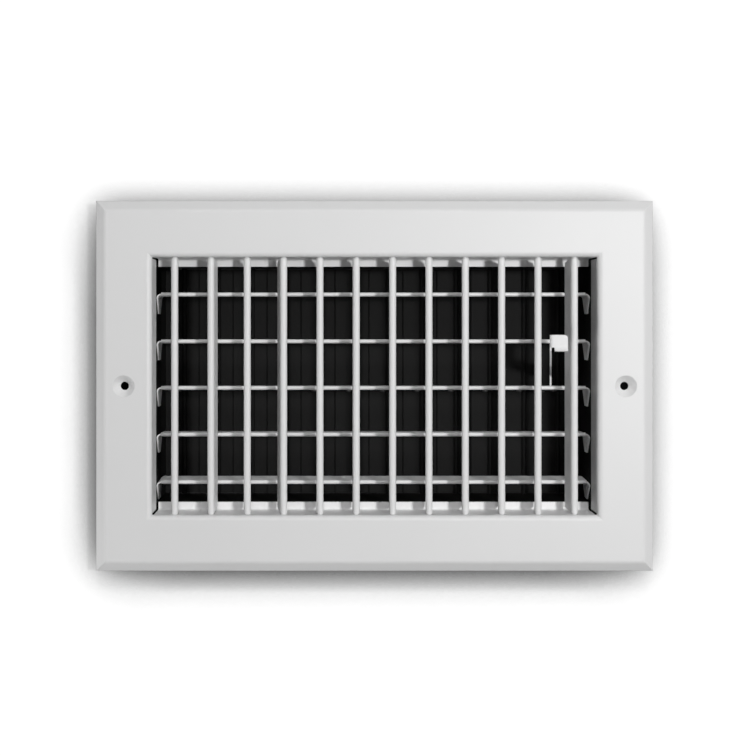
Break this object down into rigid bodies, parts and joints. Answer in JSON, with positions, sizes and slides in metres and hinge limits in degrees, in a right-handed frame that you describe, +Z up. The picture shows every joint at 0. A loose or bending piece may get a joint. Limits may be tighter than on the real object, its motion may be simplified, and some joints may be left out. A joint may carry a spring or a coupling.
{
  "type": "vent register",
  "caption": "White steel wall vent register with upright turning front bars, level tilting rear bars and a black linked damper worked by a small finger lever.",
  "frame": {"origin": "midway between the two screw holes, on the wall plane that the rim lies on", "axes": "+X to the right as seen from the room, +Y into the wall, +Z up"},
  "size_m": [0.3008, 0.0695, 0.1998],
  "materials": {
    "white_enamel": "smooth satin white baked enamel on sheet steel",
    "black_enamel": "matt black paint on sheet steel",
    "rivet_steel": "dull zinc-plated steel"
  },
  "bodies": {
    "frame": {"face_frame": "white_enamel", "damper_rail_top": "black_enamel", "damper_rail_bottom": "black_enamel", "side_plate_left": "black_enamel", "side_plate_right": "black_enamel"},
    "front_bar_01": {"front_bar_01": "white_enamel"},
    "front_bar_02": {"front_bar_02": "white_enamel"},
    "front_bar_03": {"front_bar_03": "white_enamel"},
    "front_bar_04": {"front_bar_04": "white_enamel"},
    "front_bar_05": {"front_bar_05": "white_enamel"},
    "front_bar_06": {"front_bar_06": "white_enamel"},
    "front_bar_07": {"front_bar_07": "white_enamel"},
    "front_bar_08": {"front_bar_08": "white_enamel"},
    "front_bar_09": {"front_bar_09": "white_enamel"},
    "front_bar_10": {"front_bar_10": "white_enamel"},
    "front_bar_11": {"front_bar_11": "white_enamel"},
    "front_bar_12": {"front_bar_12": "white_enamel"},
    "rear_bar_1": {"rear_bar_1": "white_enamel"},
    "rear_bar_2": {"rear_bar_2": "white_enamel"},
    "rear_bar_3": {"rear_bar_3": "white_enamel"},
    "rear_bar_4": {"rear_bar_4": "white_enamel"},
    "rear_bar_5": {"rear_bar_5": "white_enamel"},
    "damper_blade_01": {"damper_blade_01": "black_enamel"},
    "damper_blade_02": {"damper_blade_02": "black_enamel"},
    "damper_blade_03": {"damper_blade_03": "black_enamel"},
    "damper_blade_04": {"damper_blade_04": "black_enamel"},
    "damper_blade_05": {"damper_blade_05": "black_enamel"},
    "damper_blade_06": {"damper_blade_06": "black_enamel"},
    "damper_blade_07": {"damper_blade_07": "black_enamel"},
    "damper_blade_08": {"damper_blade_08": "black_enamel"},
    "damper_blade_09": {"damper_blade_09": "black_enamel"},
    "damper_blade_10": {"damper_blade_10": "black_enamel"},
    "damper_blade_11": {"damper_blade_11": "black_enamel"},
    "damper_blade_12": {"damper_blade_12": "black_enamel"},
    "link": {"damper_link": "black_enamel", "link_rivets": "rivet_steel", "damper_lever": "white_enamel", "lever_rivet": "rivet_steel"}
  },
  "joints": [
    {"name": "front_bar_01_turn", "type": "hinge", "parent": "frame", "child": "front_bar_01", "pos_m": [-0.10808, 0.0006, 0], "axis": [0, 0, -1], "range_deg": [-45, 45]},
    {"name": "front_bar_02_turn", "type": "hinge", "parent": "frame", "child": "front_bar_02", "pos_m": [-0.08843, 0.0006, 0], "axis": [0, 0, -1], "range_deg": [-55, 35]},
    {"name": "front_bar_03_turn", "type": "hinge", "parent": "frame", "child": "front_bar_03", "pos_m": [-0.06878, 0.0006, 0], "axis": [0, 0, -1], "range_deg": [-34, 56]},
    {"name": "front_bar_04_turn", "type": "hinge", "parent": "frame", "child": "front_bar_04", "pos_m": [-0.04913, 0.0006, 0], "axis": [0, 0, -1], "range_deg": [-28, 62]},
    {"name": "front_bar_05_turn", "type": "hinge", "parent": "frame", "child": "front_bar_05", "pos_m": [-0.02948, 0.0006, 0], "axis": [0, 0, -1], "range_deg": [-38, 52]},
    {"name": "front_bar_06_turn", "type": "hinge", "parent": "frame", "child": "front_bar_06", "pos_m": [-0.00983, 0.0006, 0], "axis": [0, 0, -1], "range_deg": [-38, 52]},
    {"name": "front_bar_07_turn", "type": "hinge", "parent": "frame", "child": "front_bar_07", "pos_m": [0.00983, 0.0006, 0], "axis": [0, 0, -1], "range_deg": [-47, 43]},
    {"name": "front_bar_08_turn", "type": "hinge", "parent": "frame", "child": "front_bar_08", "pos_m": [0.02948, 0.0006, 0], "axis": [0, 0, -1], "range_deg": [-43, 47]},
    {"name": "front_bar_09_turn", "type": "hinge", "parent": "frame", "child": "front_bar_09", "pos_m": [0.04913, 0.0006, 0], "axis": [0, 0, -1], "range_deg": [-48, 42]},
    {"name": "front_bar_10_turn", "type": "hinge", "parent": "frame", "child": "front_bar_10", "pos_m": [0.06878, 0.0006, 0], "axis": [0, 0, -1], "range_deg": [-50, 40]},
    {"name": "front_bar_11_turn", "type": "hinge", "parent": "frame", "child": "front_bar_11", "pos_m": [0.08843, 0.0006, 0], "axis": [0, 0, -1], "range_deg": [-49, 29]},
    {"name": "front_bar_12_turn", "type": "hinge", "parent": "frame", "child": "front_bar_12", "pos_m": [0.10808, 0.0006, 0], "axis": [0, 0, -1], "range_deg": [-33, 57]},
    {"name": "rear_bar_1_tilt", "type": "hinge", "parent": "frame", "child": "rear_bar_1", "pos_m": [0, 0.0246, 0.0426], "axis": [1, 0, 0], "range_deg": [-28.5, 31.5]},
    {"name": "rear_bar_2_tilt", "type": "hinge", "parent": "frame", "child": "rear_bar_2", "pos_m": [0, 0.0246, 0.01675], "axis": [1, 0, 0], "range_deg": [-30, 30]},
    {"name": "rear_bar_3_tilt", "type": "hinge", "parent": "frame", "child": "rear_bar_3", "pos_m": [0, 0.0246, -0.0091], "axis": [1, 0, 0], "range_deg": [-30, 30]},
    {"name": "rear_bar_4_tilt", "type": "hinge", "parent": "frame", "child": "rear_bar_4", "pos_m": [0, 0.0246, -0.03495], "axis": [1, 0, 0], "range_deg": [-30, 30]},
    {"name": "rear_bar_5_tilt", "type": "hinge", "parent": "frame", "child": "rear_bar_5", "pos_m": [0, 0.0246, -0.0608], "axis": [1, 0, 0], "range_deg": [-34, 26]},
    {"name": "damper_blade_01_turn", "type": "hinge", "parent": "frame", "child": "damper_blade_01", "pos_m": [-0.10905, 0.0516, 0], "axis": [0, 0, 1], "range_deg": [0, 80]},
    {"name": "damper_blade_02_turn", "type": "hinge", "parent": "frame", "child": "damper_blade_02", "pos_m": [-0.08922, 0.0516, 0], "axis": [0, 0, 1], "range_deg": [0, 80]},
    {"name": "damper_blade_03_turn", "type": "hinge", "parent": "frame", "child": "damper_blade_03", "pos_m": [-0.06939, 0.0516, 0], "axis": [0, 0, 1], "range_deg": [0, 80]},
    {"name": "damper_blade_04_turn", "type": "hinge", "parent": "frame", "child": "damper_blade_04", "pos_m": [-0.04957, 0.0516, 0], "axis": [0, 0, 1], "range_deg": [0, 80]},
    {"name": "damper_blade_05_turn", "type": "hinge", "parent": "frame", "child": "damper_blade_05", "pos_m": [-0.02974, 0.0516, 0], "axis": [0, 0, 1], "range_deg": [0, 80]},
    {"name": "damper_blade_06_turn", "type": "hinge", "parent": "frame", "child": "damper_blade_06", "pos_m": [-0.00991, 0.0516, 0], "axis": [0, 0, 1], "range_deg": [0, 80]},
    {"name": "damper_blade_07_turn", "type": "hinge", "parent": "frame", "child": "damper_blade_07", "pos_m": [0.00991, 0.0516, 0], "axis": [0, 0, 1], "range_deg": [0, 80]},
    {"name": "damper_blade_08_turn", "type": "hinge", "parent": "frame", "child": "damper_blade_08", "pos_m": [0.02974, 0.0516, 0], "axis": [0, 0, 1], "range_deg": [0, 80]},
    {"name": "damper_blade_09_turn", "type": "hinge", "parent": "frame", "child": "damper_blade_09", "pos_m": [0.04957, 0.0516, 0], "axis": [0, 0, 1], "range_deg": [0, 80]},
    {"name": "damper_blade_10_turn", "type": "hinge", "parent": "frame", "child": "damper_blade_10", "pos_m": [0.06939, 0.0516, 0], "axis": [0, 0, 1], "range_deg": [0, 80]},
    {"name": "damper_blade_11_turn", "type": "hinge", "parent": "frame", "child": "damper_blade_11", "pos_m": [0.08922, 0.0516, 0], "axis": [0, 0, 1], "range_deg": [0, 80]},
    {"name": "damper_blade_12_turn", "type": "hinge", "parent": "frame", "child": "damper_blade_12", "pos_m": [0.10905, 0.0516, 0], "axis": [0, 0, 1], "range_deg": [0, 80]},
    {"name": "damper_link_pivot", "type": "hinge", "parent": "damper_blade_07", "child": "link", "pos_m": [0.0067, 0.04777, -0.0045], "axis": [0, 0, 1], "range_deg": [-80, 0]}
  ],
  "couplings": [
    {"joint": "damper_blade_01_turn", "follows": "damper_blade_07_turn", "ratio": 1},
    {"joint": "damper_blade_02_turn", "follows": "damper_blade_07_turn", "ratio": 1},
    {"joint": "damper_blade_03_turn", "follows": "damper_blade_07_turn", "ratio": 1},
    {"joint": "damper_blade_04_turn", "follows": "damper_blade_07_turn", "ratio": 1},
    {"joint": "damper_blade_05_turn", "follows": "damper_blade_07_turn", "ratio": 1},
    {"joint": "damper_blade_06_turn", "follows": "damper_blade_07_turn", "ratio": 1},
    {"joint": "damper_blade_08_turn", "follows": "damper_blade_07_turn", "ratio": 1},
    {"joint": "damper_blade_09_turn", "follows": "damper_blade_07_turn", "ratio": 1},
    {"joint": "damper_blade_10_turn", "follows": "damper_blade_07_turn", "ratio": 1},
    {"joint": "damper_blade_11_turn", "follows": "damper_blade_07_turn", "ratio": 1},
    {"joint": "damper_blade_12_turn", "follows": "damper_blade_07_turn", "ratio": 1},
    {"joint": "damper_link_pivot", "follows": "damper_blade_07_turn", "ratio": -1}
  ]
}
